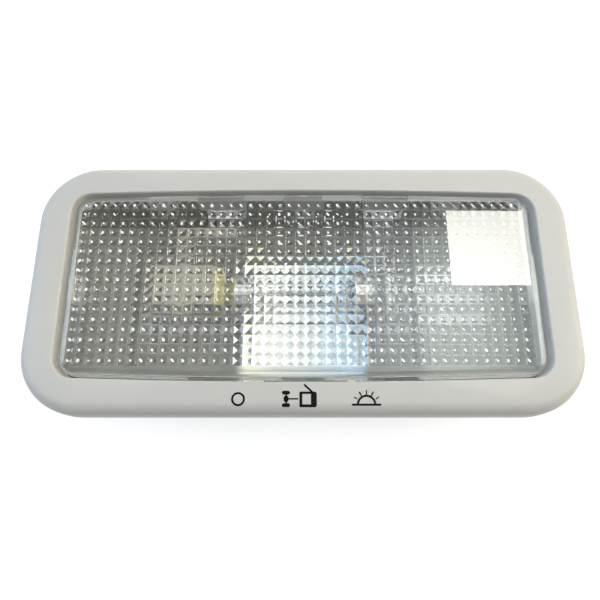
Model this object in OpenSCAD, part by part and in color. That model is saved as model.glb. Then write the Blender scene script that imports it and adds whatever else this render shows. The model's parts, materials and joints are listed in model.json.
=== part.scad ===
// Car roof lamp whose rocking prism lens is also its three-position switch.
// The lens faces up, the length lies along X, and the printed icons' side is towards -Y.
// Origin: the middle of the footprint, on the lowest face of the rear housing.

/* [Bezel] */
// Width of the bezel's rim at the two ends of the lamp
rim_end_w = 8.5; // [6:0.25:10]
// Width of the bezel's rim along the two long sides
rim_side_w = 7.45; // [6:0.25:10]
// Height of the bezel's face above the flange of the rear housing
bezel_h = 7.3; // [6.6:0.1:8.5]
// Corner radius of the bezel in plan
bezel_corner_r = 15; // [12:0.5:17]
// Radius of the bezel's rounded outer edge
bezel_edge_r = 3; // [2:0.25:3.5]
// Slope of the bezel's face from the opening down to the outer edge, in degrees
bezel_slope = 4; // [1:0.5:6]
// Wall thickness of the bezel
bezel_wall = 2; // [1.6:0.1:2.2]
// Shadow gap between the bezel's skirt and the flange
parting_gap = 0.35; // [0.2:0.05:0.6]

/* [Opening of the bezel] */
// Gap between the lens and the bezel at the two ends
end_gap = 1.1; // [1:0.1:1.8]
// Gap between the lens and the bezel along the two long sides
side_gap = 0.6; // [0.5:0.1:1.2]
// Distance that the opening's wall slants inwards on its way down
opening_slant = 0.2; // [0.1:0.05:0.4]

/* [Lens] */
// Length of the lens
lens_l = 114.6; // [112:0.1:115.6]
// Width of the lens
lens_w = 47.6; // [46:0.1:48.4]
// Corner radius of the lens
lens_corner_r = 4.5; // [4:0.25:7]
// Distance that the long sides bow outwards at mid-length
lens_bow = 0.9; // [0.4:0.1:1.2]
// Height of the lens's front above the bezel's face
lens_proud = 0.4; // [0:0.1:1]
// Height of the lens tray from its rim to its front
lens_h = 3.2; // [2.8:0.1:3.4]
// Thickness of the lens's front plate without the prisms
lens_plate = 1.8; // [1.4:0.1:2]
// Wall thickness of the lens tray
lens_wall = 1.05; // [1:0.05:1.3]
// Distance that the lens's outer wall slants inwards on its way up
lens_slant = 0.3; // [0.1:0.1:0.8]

/* [Prisms] */
// Pitch of the prisms across the lens
prism_pitch = 2.5; // [2.4:0.05:3]
// Pitch of the prisms along the lens
prism_pitch_l = 2.45; // [2.4:0.05:3]
// Slope of the prisms' four facets, in degrees
prism_slope = 15; // [10:1:20]
// Distance of the prisms' field from the lens's middle, along the lens
prism_shift_l = -0.7; // [-1:0.1:0]
// Distance of the prisms' field from the lens's middle, across the lens
prism_shift_w = 0.55; // [0:0.05:0.7]

/* [Rocking pivot] */
// Height of the rocking axis above the housing's floor
pivot_z = 17.4; // [16.9:0.1:17.8]
// Diameter of the lens's pivot pins
pivot_d = 4; // [3:0.1:4.4]
// Radial running clearance of the pins and trunnions
running_gap = 0.05; // [0.02:0.01:0.1]
// Rocking angle of the lens to each side, in degrees
rock_angle = 3; // [2:0.25:3.25]

/* [Lens legs] */
// Distance of the four legs from mid-length
leg_x = 21; // [20:0.5:22]
// Width of a leg at the lens's rim
leg_w = 12; // [10:0.5:13]
// Width of a leg below its shoulder
leg_tip_w = 8; // [6:0.5:9]
// Height of the stop barb on each leg
barb_h = 2; // [1.5:0.1:2.4]
// Diameter of the drive pin that works the contact rocker
drive_pin_d = 3; // [2.4:0.1:3.4]

/* [Rear housing] */
// Depth of the housing behind the headliner
housing_depth = 19.5; // [19:0.1:21]
// Thickness of the housing's flange
flange_t = 1.2; // [1:0.1:1.6]
// Step from the bezel's outline in to the flange's
flange_inset = 0.5; // [0.3:0.1:1.2]
// Wall thickness of the housing
wall = 1.6; // [1.3:0.1:1.8]
// Clearance between the lens and the housing's long walls
lens_room = 1.05; // [0.9:0.05:1.3]
// Height of the shelf over the connector socket
shelf_z = 12; // [11:0.25:12.5]
// Height of the floor at the left end
end_floor_z = 8; // [6:0.5:10]

/* [Connector socket] */
// Inner size of the socket along the lamp
socket_l = 11; // [10:0.5:12]
// Inner size of the socket across the lamp
socket_w = 18; // [17:0.5:20]
// Distance of the socket's middle from mid-length
socket_x = 47.5; // [46:0.25:48.5]
// Width of a connector blade
blade_w = 2.8; // [2.2:0.1:3.2]
// Thickness of the brass stampings
blade_t = 0.8; // [0.6:0.05:0.9]
// Pitch of the three connector blades
blade_pitch = 6; // [5:0.25:6.4]
// Length of the blades below the shelf
blade_length = 7.5; // [6:0.25:8.5]

/* [Bulb and reflector] */
// Length of the festoon bulb from tip to tip
bulb_l = 41; // [38:0.5:43]
// Diameter of the bulb's glass
bulb_d = 10.5; // [9:0.25:11.5]
// Diameter of the bulb's metal caps
cap_d = 8.4; // [7:0.2:8.8]
// Height of the bulb's axis above the housing's floor
bulb_z = 17.5; // [17.25:0.25:19]
// Length of the reflector along the lamp
reflector_l = 32.5; // [30:0.5:34]
// Width of the reflector across the lamp
reflector_w = 29.5; // [26:0.5:31]
// Distance of the reflector's middle from the bulb's axis, towards the icons' side
reflector_shift = 3.9; // [2:0.1:4.4]
// Height of the reflector's bright face
reflector_z = 11; // [9:0.25:11.25]
// Thickness of the reflector sheet
reflector_t = 0.5; // [0.4:0.05:0.7]

/* [Contact rocker] */
// Gap between the bulb's left tip and the rocker's plate
rocker_gap = 4; // [3.5:0.25:5]
// Height of the rocker's shaft
rocker_z = 9; // [8.6:0.1:9.6]
// Length of the rocker's plate
rocker_l = 17; // [15:0.5:17.5]
// Width of the rocker's plate
rocker_w = 10.8; // [9:0.2:11.4]
// Diameter of the rocker's shaft
shaft_d = 4; // [3.4:0.1:4.4]

/* [Hidden] */

// Colours
bezel_grey = [0.80, 0.79, 0.76];
housing_grey = [0.74, 0.74, 0.71];
clear_grey = [0.82, 0.86, 0.86, 0.45];
bright_metal = [0.86, 0.88, 0.90];
brass = [0.80, 0.66, 0.32];
nickel = [0.74, 0.74, 0.72];
tin = [0.70, 0.71, 0.71];
copper = [0.75, 0.48, 0.30];
spring_steel = [0.55, 0.56, 0.58];
beige = [0.78, 0.74, 0.62];

// Small overlap that joins two shapes of one piece
fuse = 0.3;
// Steps of a quarter turn and of a bowed side in the moulded outlines
corner_steps = 8;
bow_steps = 6;

// Levels above the housing's lowest face
flange_top = housing_depth + flange_t;
face_z = flange_top + bezel_h;
lens_top = face_z + lens_proud;
rim_z = lens_top - lens_h;
plate_z = lens_top - lens_plate;

// Half sizes of the lens and of the opening round it
lens_hx = lens_l / 2;
lens_hy = lens_w / 2;
lens_edge_r = 1.2;
open_hx = lens_hx + end_gap;
open_hy = lens_hy + side_gap;
open_r = lens_corner_r + side_gap;
// Outer size of the bezel, which is the outer size of the lamp
bezel_l = 2 * (open_hx + rim_end_w);
bezel_w = 2 * (open_hy + rim_side_w);
rib_t = 1.2;
rib_pitch_x = 30;
rib_pitch_y = 24;
open_lip_r = 0.6;
lip_steps = 3;
side_slant = opening_slant / 2;

// Half sizes of the housing's cavity and outside
vent_w = 2.5;
vent_pitch = 7;
in_hx = lens_hx + lens_room;
in_hy = lens_hy + lens_room;
out_hx = in_hx + wall;
out_hy = in_hy + wall;
cavity_r = 6;
floor_z = wall;

// Distance of the rocker's shaft from mid-length, towards the left
rocker_x = bulb_l / 2 + rocker_gap + rocker_l / 2;

// The deep well of the housing, from the left of the rocker to the right of the bulb
well_spare = 7;
socket_spare = 7.5;
well_left = -rocker_x - rocker_l / 2 - well_spare;
well_right = socket_x - socket_l / 2 - wall - socket_spare;
end_floor_under = end_floor_z - wall;
shelf_under = shelf_z - wall;

// Travel of the lens at its legs
leg_travel = leg_x * sin(rock_angle);
leg_t = 1.5;
// Outer face of a leg or ear that grows from the lens's long wall at a distance x from mid-length
function lens_side(x) = lens_hy - lens_bow * pow(x / (lens_hx - lens_corner_r), 2) - 0.1;
leg_out = lens_side(leg_x);
leg_in = leg_out - leg_t;
ear_w = 10;
ear_rim = 1.5;
ear_neck = 4;
ear_overlap = 1;
collar_rim = 0.8;
collar_gap = 0.35;
pin_recess = 0.5;
barb_reach = in_hy + wall / 2;
barb_z = 15;
stop_gap = 0.35;
window_h = barb_h + 2 * (leg_travel + stop_gap);
window_w = leg_tip_w + 2;

// Snap tongues of the bezel, which catch in the housing's walls
tongue_t = 1.2;
tongue_w = 7;
tongue_gap = 0.15;
tongue_x = 38;
tongue_barb = [15.6, 17.2];
tongue_bottom = 14.6;
tongue_root = 0.9;
tongue_window_gap = 0.15;

// Contact rocker: its lever follows the drive pin of the lens's left leg
rocker_y = 5;
rocker_plate_t = 1.6;
rocker_top = rocker_z + shaft_d / 2;
rocker_under = rocker_top - rocker_plate_t;
lever_t = 3;
lever_y = leg_in - 1.3 - lever_t;
fork_gap = drive_pin_d + 0.6;
fork_jaw = 1.5;
lever_reach = rocker_x - leg_x + drive_pin_d / 2 + 1.2;
post_t = 2;
post_low_y = rocker_y - rocker_w / 2 - 1.5 - post_t;
post_high_y = rocker_y + rocker_w / 2 + 2.4;
post_w = shaft_d + 3;
post_top = rocker_z + shaft_d / 2 + 1.4;

// Detent: a leaf spring whose nose faces three notches in the right-hand leg
detent_z = 11.5;
notch_depth = 0.45;
notch_half = 0.5;
detent_t = 0.4;
detent_w = 7;
detent_gap = 0.45;
detent_x = max(leg_x, reflector_l / 2 + 0.5 + detent_w / 2);
detent_foot = [4.4, 10];
detent_rise = 2;

// Bulb
cap_l = 7.1;
cap_nose = 3.2;
glass_end = bulb_l / 2 - cap_l;
glass_t = 0.5;
glass_neck_r = cap_d / 2 - 0.3;
clip_x = bulb_l / 2 - 0.1;
clip_w = 9;
clip_hole_r = 2;
clip_foot = 9;
clip_heel = 2.4;
clip_bend = [6, 2, 2.2, 4.6];
clip_flare = 1.3;
clip_stem_top = 3.4;
clip_eyelet = 5;
clip_shoulder = 7.5;
coil_r = 0.6;
coil_end = 5;
crimp_r = 0.45;
crimp_l = 0.9;
lead_r = 0.2;

// Lanes of the stampings across the lamp, in line with the connector's blades
supply_y = blade_pitch;
door_y = 0;
ground_y = -blade_pitch;
strip_z = floor_z + blade_t / 2;
shelf_strip_z = shelf_z + blade_t / 2;
riser_x = well_right - wall - blade_t / 2;
blade_tip_z = shelf_z - blade_length;
bridge_t = 0.5;
bridge_w = rocker_w - 1.8;

// Retaining springs on the two end walls
retainer_t = 0.5;
retainer_w = 7;
retainer_base_w = 12;
retainer_low = shelf_under + 0.8;
retainer_high = housing_depth - 2.4;
retainer_bow = 3;
retainer_tip = 1.2;
retainer_drop = 0.4;
retainer_bow_z = (retainer_low + retainer_high) / 2 - retainer_drop;
retainer_base_low = retainer_low + 1.6;
rail_wall = 1.2;
rail_gap = 0.15;

// Eyelets: place, level of the moulded floor's underside and level of the sheet's top
eyelet_r = 0.9;
eyelet_hole_r = 0.95;
eyelet_head_r = 1.6;
eyelet_head_t = 0.5;
eyelet_recess = 0.7;
foot_y = reflector_w / 2 + 2.4;
foot_x = reflector_l / 2 - 3;
foot_high_y = foot_y - reflector_shift;
foot_low_y = -foot_y - reflector_shift;
foot_half = 2.6;
foot_length = 4.4;
leg_top = reflector_z - 3;
sheet_floor = floor_z + blade_t;
detent_eyelet = 2;
terminal_eyelet = 4;
EYELETS = [
    [foot_x, foot_high_y, eyelet_recess, floor_z + reflector_t],
    [-foot_x, foot_high_y, eyelet_recess, floor_z + reflector_t],
    [foot_x, foot_low_y, eyelet_recess, floor_z + reflector_t],
    [-foot_x, foot_low_y, eyelet_recess, floor_z + reflector_t],
    [clip_x + clip_eyelet, supply_y, eyelet_recess, sheet_floor],
    [-clip_x - clip_eyelet, supply_y, eyelet_recess, sheet_floor],
    [0, door_y, eyelet_recess, sheet_floor],
    [0, ground_y, eyelet_recess, sheet_floor],
    [detent_x, leg_in - detent_foot[1] + detent_eyelet, eyelet_recess, floor_z + detent_t],
    [well_right + terminal_eyelet, supply_y, shelf_under, shelf_z + blade_t],
    [well_right + terminal_eyelet, door_y, shelf_under, shelf_z + blade_t],
    [well_right + terminal_eyelet, ground_y, shelf_under, shelf_z + blade_t]
];

// Points of a quarter circle about [cx, cy], from angle a0
function quarter(cx, cy, r, a0) =
    [for (i = [0:corner_steps]) let (a = a0 + 90 * i / corner_steps) [cx + r * cos(a), cy + r * sin(a)]];

// Points along a bowed long side, without its ends, for s = 1 at +Y and s = -1 at -Y
function bowed_side(hx, hy, r, bow, s) =
    [for (i = [1:bow_steps - 1]) let (u = 1 - 2 * i / bow_steps) [s * (hx - r) * u, s * (hy - bow * u * u)]];

// Outline with round corners of radius r, whose long sides reach hy at mid-length
function bowed_outline(hx, hy, r, bow) = concat(
    quarter(hx - r, hy - bow - r, r, 0),
    bowed_side(hx, hy, r, bow, 1),
    quarter(r - hx, hy - bow - r, r, 90),
    quarter(r - hx, r + bow - hy, r, 180),
    bowed_side(hx, hy, r, bow, -1),
    quarter(hx - r, r + bow - hy, r, 270));

// Outline with round corners and straight sides
function plain_outline(hx, hy, r) = concat(
    quarter(hx - r, hy - r, r, 0), quarter(r - hx, hy - r, r, 90),
    quarter(r - hx, r - hy, r, 180), quarter(hx - r, r - hy, r, 270));

// Solid skinned over a stack of levels, each an [outline, z] with the same number of points
module loft(levels) {
    n = len(levels[0][0]);
    last = len(levels) - 1;
    skin = [for (k = [0:last - 1]) for (i = [0:n - 1]) let (a = k * n + i, b = k * n + (i + 1) % n)
        each [[a, a + n, b + n], [a, b + n, b]]];
    floor_face = [[for (i = [0:n - 1]) i]];
    top_face = [[for (i = [n - 1:-1:0]) last * n + i]];
    polyhedron([for (l = levels) for (p = l[0]) [p[0], p[1], l[1]]], concat(floor_face, skin, top_face));
}

// Outline of a sheet of thickness t bent along the path p
function unit(v) = v / norm(v);
function left_of(v) = [-v[1], v[0]];
function side_of(a, b) = left_of(unit(b - a));
function mitre(a, b, c) = let (n = unit(side_of(a, b) + side_of(b, c))) n / (n * side_of(a, b));
function bend_sides(p) = let (last = len(p) - 1) [for (i = [0:last])
    i == 0 ? side_of(p[0], p[1]) : i == last ? side_of(p[last - 1], p[last]) : mitre(p[i - 1], p[i],
        p[i + 1])];
function ribbon(p, t) = let (o = bend_sides(p), last = len(p) - 1) concat(
    [for (i = [0:last]) p[i] + o[i] * t / 2],
    [for (i = [last:-1:0]) p[i] - o[i] * t / 2]);

// Sheet bent in the XZ plane, w wide about y
module bent_sheet(path, t, w, y) {
    translate([0, y + w / 2, 0]) rotate([90, 0, 0]) linear_extrude(w) polygon(ribbon(path, t));
}

// Sheet bent in the YZ plane, w wide about x
module cross_sheet(path, t, w, x) {
    translate([x - w / 2, 0, 0]) rotate([90, 0, 90]) linear_extrude(w) polygon(ribbon(path, t));
}

// Block between two corners
module block(low, high) {
    translate(low) cube(high - low);
}

// Cylinder along Y from y0 to y1
module rod_y(x, y0, y1, z, r) {
    translate([x, y1, z]) rotate([90, 0, 0]) cylinder(h = y1 - y0, r = r, $fn = 48);
}

// Holes for the eyelets
module eyelet_holes() {
    for (e = EYELETS) translate([e[0], e[1], -1]) cylinder(h = e[3] + 2, r = eyelet_hole_r, $fn = 24);
}

// Section through the bezel's wall, d inside its surface, from a corner's centre outwards
function bezel_section(d, base) = let (
    r = bezel_corner_r - d,
    e = bezel_edge_r - d * 0.6,
    top = face_z - d,
    rim_u = max(bezel_corner_r - rim_end_w, 0.1),
    zc = top - e * cos(bezel_slope) - (r - e + e * sin(bezel_slope) - rim_u) * tan(bezel_slope),
    sweep = 90 - bezel_slope)
    concat([[0, base], [r, base]],
        [for (i = [0:corner_steps]) let (a = sweep * i / corner_steps) [r - e + e * cos(a), zc + e * sin(a)]],
        [[rim_u, top], [0, top]]);

// Block with the bezel's rounded outer form, d inside its surface
module bezel_form(d, base) {
    cx = bezel_l / 2 - bezel_corner_r;
    cy = bezel_w / 2 - bezel_corner_r;
    section = bezel_section(d, base);
    block([-cx, -cy, base], [cx, cy, face_z - d]);
    for (mx = [0, 1]) mirror([mx, 0, 0]) {
        translate([cx, cy, 0]) rotate([90, 0, 0]) linear_extrude(2 * cy) polygon(section);
        for (my = [0, 1]) mirror([0, my, 0])
            translate([cx, cy, 0]) rotate_extrude(angle = 90, $fn = 96) polygon(section);
    }
    for (my = [0, 1]) mirror([0, my, 0])
        translate([-cx, cy, 0]) rotate([90, 0, 90]) linear_extrude(2 * cx) polygon(section);
}

// Opening of the bezel: a slanted wall with a small rounded lip at the face
module bezel_opening() {
    lip = [for (i = [0:lip_steps]) let (a = 90 * i / lip_steps)
        [open_lip_r * (1 - cos(a)), face_z - open_lip_r + open_lip_r * sin(a)]];
    slope_down = [[-1, flange_top - 1], [-1, flange_top]];
    levels = concat(
        [for (l = slope_down) [bowed_outline(open_hx - opening_slant, open_hy - side_slant, open_r,
            lens_bow), l[1]]],
        [for (l = lip) [bowed_outline(open_hx + l[0], open_hy + l[0], open_r + l[0], lens_bow), l[1]]],
        [[bowed_outline(open_hx + open_lip_r, open_hy + open_lip_r, open_r + open_lip_r, lens_bow),
            face_z + 1]]);
    loft(levels);
}

// One snap tongue of the bezel on the +Y side
module bezel_tongue(reach) {
    outer = reach - tongue_gap;
    block([-tongue_w / 2, outer - tongue_t, tongue_bottom], [tongue_w / 2, outer, flange_top + tongue_root]);
    block([-tongue_w / 2, outer - tongue_t, flange_top],
        [tongue_w / 2, reach + wall / 2, flange_top + tongue_root]);
    barb = [[outer - fuse, tongue_barb[1]], [reach + wall / 2, tongue_barb[1]],
        [outer - fuse, tongue_barb[0] - 0.8]];
    translate([-tongue_w / 2, 0, 0]) rotate([90, 0, 90]) linear_extrude(tongue_w) polygon(barb);
}

module bezel_tongues() {
    for (my = [0, 1]) mirror([0, my, 0]) for (x = [-tongue_x, tongue_x])
        translate([x, 0, 0]) bezel_tongue(in_hy);
    for (a = [-90, 90]) rotate([0, 0, a]) bezel_tongue(in_hx);
}

// Places of the ribs along a straight side of half length h
function rib_places(h, pitch) = let (n = floor(2 * h / pitch)) [for (i = [0:n]) (i - n / 2) * pitch];

module bezel_ribs() {
    top = face_z - bezel_wall / 2;
    for (my = [0, 1]) mirror([0, my, 0]) for (x = rib_places(open_hx - open_r, rib_pitch_x))
        block([x - rib_t / 2, open_hy, flange_top], [x + rib_t / 2, bezel_w / 2 - bezel_wall / 2, top]);
    for (mx = [0, 1]) mirror([mx, 0, 0]) for (y = rib_places(open_hy - open_r, rib_pitch_y))
        block([open_hx, y - rib_t / 2, flange_top], [bezel_l / 2 - bezel_wall / 2, y + rib_t / 2, top]);
}

module bezel() {
    collar = bowed_outline(open_hx + bezel_wall, open_hy + bezel_wall, open_r + bezel_wall, lens_bow);
    color(bezel_grey) {
        difference() {
            union() {
                difference() {
                    bezel_form(0, flange_top + parting_gap);
                    bezel_form(bezel_wall, flange_top - 1);
                }
                translate([0, 0, flange_top]) linear_extrude(bezel_h - bezel_wall / 2) polygon(collar);
                intersection() {
                    bezel_ribs();
                    bezel_form(bezel_wall / 2, flange_top);
                }
            }
            bezel_opening();
        }
        bezel_tongues();
    }
}

// Sawtooth row of the prisms' section, n teeth wide, hanging from z = plate_z
pad = 0.1;
function sawtooth(n, p, depth) = concat([[n * p / 2, plate_z + fuse], [-n * p / 2, plate_z + fuse]],
    [for (i = [0:n - 1]) each [[(i - n / 2) * p, plate_z - pad],
        [(i + 0.5 - n / 2) * p, plate_z - pad - depth]]],
    [[n * p / 2, plate_z - pad]]);

// Field of square pyramids: where two sawtooth sheets cross, each tooth keeps its lower half
module prism_field() {
    room_l = lens_hx - lens_wall - abs(prism_shift_l);
    room_w = lens_hy - lens_bow - lens_wall - abs(prism_shift_w);
    nx = floor(room_l * 2 / prism_pitch_l + 0.01);
    ny = floor(room_w * 2 / prism_pitch + 0.01);
    depth = prism_pitch / 2 * tan(prism_slope);
    intersection() {
        translate([prism_shift_l, prism_shift_w + ny * prism_pitch / 2, 0]) rotate([90, 0, 0])
            linear_extrude(ny * prism_pitch) polygon(sawtooth(nx, prism_pitch_l, depth));
        translate([prism_shift_l - nx * prism_pitch_l / 2, prism_shift_w, 0]) rotate([90, 0, 90])
            linear_extrude(nx * prism_pitch_l) polygon(sawtooth(ny, prism_pitch, depth));
        translate([0, 0, plate_z - 2]) linear_extrude(3) polygon(lens_cavity_outline());
    }
}

function lens_cavity_outline() =
    bowed_outline(lens_hx - lens_wall, lens_hy - lens_wall, lens_corner_r - lens_wall, lens_bow);

// Tray of the lens: slanted walls that round over into the flat front
module lens_tray() {
    edge = [for (i = [0:lip_steps]) let (a = 90 * i / lip_steps)
        [lens_slant + lens_edge_r * (1 - cos(a)), lens_top - lens_edge_r + lens_edge_r * sin(a)]];
    levels = [for (l = concat([[0, rim_z]], edge))
        [bowed_outline(lens_hx - l[0], lens_hy - l[0], lens_corner_r - l[0], lens_bow), l[1]]];
    difference() {
        loft(levels);
        translate([0, 0, rim_z - 1]) linear_extrude(plate_z - rim_z + 1) polygon(lens_cavity_outline());
    }
}

// Leg of the lens on the +Y side: a wide shoulder, a narrower tip and an outward stop barb
module lens_leg(tip_z) {
    shoulder_z = barb_z + window_h / 2 + 1;
    side = [[-leg_w / 2, rim_z + fuse], [-leg_w / 2, shoulder_z + 1], [-leg_tip_w / 2, shoulder_z - 1],
        [-leg_tip_w / 2, tip_z], [leg_tip_w / 2, tip_z], [leg_tip_w / 2, shoulder_z - 1],
        [leg_w / 2, shoulder_z + 1], [leg_w / 2, rim_z + fuse]];
    barb = [[leg_out - fuse, barb_z + barb_h / 2], [barb_reach, barb_z + barb_h / 2],
        [barb_reach, barb_z], [leg_out - fuse, barb_z - barb_h / 2]];
    translate([0, leg_out, 0]) rotate([90, 0, 0]) linear_extrude(leg_t) polygon(side);
    translate([-leg_tip_w / 2, 0, 0]) rotate([90, 0, 90]) linear_extrude(leg_tip_w) polygon(barb);
}

// Notches that the detent spring's nose drops into, one for each position of the lens
module detent_notches() {
    for (k = [-1, 0, 1]) translate([leg_x - leg_w, 0, detent_z + k * leg_travel]) rotate([90, 0, 90])
        linear_extrude(2 * leg_w) polygon([[leg_in - 1, -notch_half * 3], [leg_in + notch_depth, 0],
            [leg_in - 1, notch_half * 3]]);
}

// Ear with a pivot pin at mid-length on the +Y side
module pivot_ear() {
    ear_out = lens_side(0);
    ear_r = pivot_d / 2 + ear_rim;
    block([-ear_w / 2, ear_out - leg_t, pivot_z + ear_neck - ear_overlap],
        [ear_w / 2, ear_out, rim_z + fuse]);
    block([-ear_r, ear_out - leg_t, pivot_z], [ear_r, ear_out, pivot_z + ear_neck]);
    rod_y(0, ear_out - leg_t, ear_out, pivot_z, ear_r);
    rod_y(0, ear_out - fuse, in_hy - collar_gap, pivot_z, pivot_d / 2 + collar_rim);
    rod_y(0, ear_out - fuse, out_hy - pin_recess, pivot_z, pivot_d / 2);
}

module lens() {
    color(clear_grey) {
        lens_tray();
        prism_field();
        for (my = [0, 1]) mirror([0, my, 0]) pivot_ear();
        for (x = [-leg_x, leg_x]) mirror([0, 1, 0]) translate([x, 0, 0]) lens_leg(barb_z - barb_h);
        translate([-leg_x, 0, 0]) lens_leg(rocker_z - drive_pin_d / 2 - 1);
        rod_y(-leg_x, lever_y - 0.3, leg_in + fuse, rocker_z, drive_pin_d / 2);
        difference() {
            translate([leg_x, 0, 0]) lens_leg(detent_z - leg_travel - 1.4);
            detent_notches();
        }
    }
}

// Rear housing: its tub, its flange and the connector socket below the shelf
module housing_shell() {
    sx = socket_l / 2 + wall;
    sy = socket_w / 2 + wall;
    difference() {
        union() {
            translate([0, 0, housing_depth]) linear_extrude(flange_t)
                polygon(plain_outline(bezel_l / 2 - flange_inset, bezel_w / 2 - flange_inset,
                    bezel_corner_r - flange_inset));
            intersection() {
                linear_extrude(housing_depth + flange_t / 2)
                    polygon(plain_outline(out_hx, out_hy, cavity_r + wall));
                union() {
                    block([well_left, -out_hy - 1, 0], [well_right, out_hy + 1, housing_depth + 1]);
                    block([-out_hx - 1, -out_hy - 1, end_floor_under], [0, out_hy + 1, housing_depth + 1]);
                    block([0, -out_hy - 1, shelf_under], [out_hx + 1, out_hy + 1, housing_depth + 1]);
                }
            }
            block([socket_x - sx, -sy, 0], [socket_x + sx, sy, shelf_z - fuse]);
        }
        intersection() {
            linear_extrude(flange_top + 1) polygon(plain_outline(in_hx, in_hy, cavity_r));
            union() {
                block([well_left + wall, -in_hy - 1, floor_z],
                    [well_right - wall, in_hy + 1, flange_top + 1]);
                block([-in_hx - 1, -in_hy - 1, end_floor_z], [0, in_hy + 1, flange_top + 1]);
                block([0, -in_hy - 1, shelf_z], [in_hx + 1, in_hy + 1, flange_top + 1]);
            }
        }
        block([socket_x - socket_l / 2, -socket_w / 2, -1],
            [socket_x + socket_l / 2, socket_w / 2, shelf_under]);
    }
}

// Windows in the walls for the lens's barbs and the bezel's tongues
module wall_windows() {
    for (my = [0, 1]) mirror([0, my, 0]) {
        for (x = [-leg_x, leg_x])
            block([x - window_w / 2, in_hy - 1, barb_z - window_h / 2],
                [x + window_w / 2, out_hy + 1, barb_z + window_h / 2]);
        for (x = [-tongue_x, tongue_x]) translate([x, 0, 0]) tongue_window(in_hy);
    }
    for (a = [-90, 90]) rotate([0, 0, a]) tongue_window(in_hx);
}

module tongue_window(reach) {
    half = tongue_w / 2 + 2 * tongue_window_gap;
    block([-half, reach - 1, tongue_barb[0] - 1],
        [half, reach + wall + 1, tongue_barb[1] + tongue_window_gap]);
}

// Bearing post of the contact rocker, open at the top so that the shaft snaps in
module rocker_post(y) {
    mouth = shaft_d * 0.8;
    difference() {
        block([-rocker_x - post_w / 2, y, floor_z - fuse], [-rocker_x + post_w / 2, y + post_t, post_top]);
        rod_y(-rocker_x, y - 1, y + post_t + 1, rocker_z, shaft_d / 2 + running_gap);
        block([-rocker_x - mouth / 2, y - 1, rocker_z],
            [-rocker_x + mouth / 2, y + post_t + 1, post_top + 1]);
    }
}

// Rails that hold a retaining spring on the end wall at +X
module spring_rails() {
    lip_x = out_hx + retainer_t + rail_gap;
    side = retainer_base_w / 2 + rail_gap;
    for (my = [0, 1]) mirror([0, my, 0]) {
        block([out_hx - fuse, side, retainer_base_low],
            [lip_x + rail_wall, side + rail_wall, retainer_high - retainer_drop]);
        block([lip_x, retainer_w / 2 + rail_wall / 2, retainer_base_low],
            [lip_x + rail_wall, side + rail_wall, retainer_high - retainer_drop]);
    }
}

module vents() {
    half = vent_w / 2;
    for (x = [-vent_pitch, 0, vent_pitch])
        block([x - half, -out_hy - 1, floor_z + vent_w],
            [x + half, out_hy + 1, pivot_z - pivot_d / 2 - 1.6 * vent_w]);
}

module blade_slots() {
    for (y = [supply_y, door_y, ground_y])
        block([socket_x - blade_t / 2 - 0.1, y - blade_w / 2 - 0.1, shelf_under - 1],
            [socket_x + blade_t / 2 + 0.1, y + blade_w / 2 + 0.1, shelf_z + 1]);
}

module rear_housing() {
    color(housing_grey) difference() {
        union() {
            housing_shell();
            rocker_post(post_low_y);
            rocker_post(post_high_y);
            for (mx = [0, 1]) mirror([mx, 0, 0]) spring_rails();
        }
        wall_windows();
        vents();
        blade_slots();
        eyelet_holes();
        rod_y(0, -out_hy - 1, out_hy + 1, pivot_z, pivot_d / 2 + running_gap);
        for (e = EYELETS) translate([e[0], e[1], e[2] - shelf_z])
            cylinder(h = shelf_z, r = eyelet_head_r + 0.4, $fn = 32);
    }
}

// Bright sheet behind the bulb, folded down to four feet
module reflector() {
    low = floor_z + reflector_t / 2;
    high = reflector_z - reflector_t / 2;
    side = reflector_w / 2 - reflector_t / 2;
    foot = reflector_w / 2 + foot_length;
    color(bright_metal) difference() {
        translate([0, -reflector_shift, 0]) difference() {
            cross_sheet([[-foot, low], [-side, low], [-side, high], [side, high], [side, low], [foot, low]],
                reflector_t, reflector_l, 0);
            block([foot_half - foot_x, -foot - 1, 0], [foot_x - foot_half, foot + 1, leg_top]);
        }
        eyelet_holes();
    }
}

// Turns a section drawn along the bulb's axis into a body about that axis
module about_bulb_axis() {
    translate([0, 0, bulb_z]) rotate([0, 90, 0])
        rotate_extrude($fn = 64) rotate(90) mirror([0, 1]) children();
}

// Points of the glass's section, d inside its surface; x runs along the bulb
function glass_section(d, hole) = let (
    r = bulb_d / 2 - d,
    shoulder = bulb_d / 2 - glass_neck_r,
    flat = glass_end - shoulder,
    arc = [for (i = [0:6]) let (a = 90 * i / 6)
        [flat + (shoulder - d) * sin(a), bulb_d / 2 - shoulder + (shoulder - d) * cos(a)]],
    tail = d > 0 ? [[glass_end - d, hole], [glass_end + 1, hole]] : [[glass_end, 0]],
    half = concat(arc, tail))
    concat([for (p = half) p], d > 0 ? [[glass_end + 1, 0], [-glass_end - 1, 0]] : [],
        [for (i = [len(half) - 1:-1:0]) [-half[i][0], half[i][1]]]);

module bulb_glass() {
    color(clear_grey) difference() {
        about_bulb_axis() polygon(glass_section(0, 0));
        about_bulb_axis() polygon(glass_section(glass_t, 1.5));
    }
}

module bulb_cap() {
    tip = bulb_l / 2;
    nose = cap_d / 5;
    about_bulb_axis() polygon([[glass_end, 0], [glass_end, cap_d / 2], [tip - cap_nose, cap_d / 2],
        [tip - cap_nose * 0.85, cap_d / 2 - cap_nose / 8], [tip - cap_nose * 0.35, nose],
        [tip - cap_nose * 0.1, nose * 0.75], [tip, nose * 0.35], [tip, 0]]);
}

module bulb_cap_left() {
    color(nickel) mirror([1, 0, 0]) bulb_cap();
}

module bulb_cap_right() {
    color(nickel) bulb_cap();
}

module bulb_filament() {
    color(spring_steel) about_bulb_axis() polygon([[-coil_end, 0], [-coil_end, coil_r],
        [coil_end, coil_r], [coil_end, 0]]);
}

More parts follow.
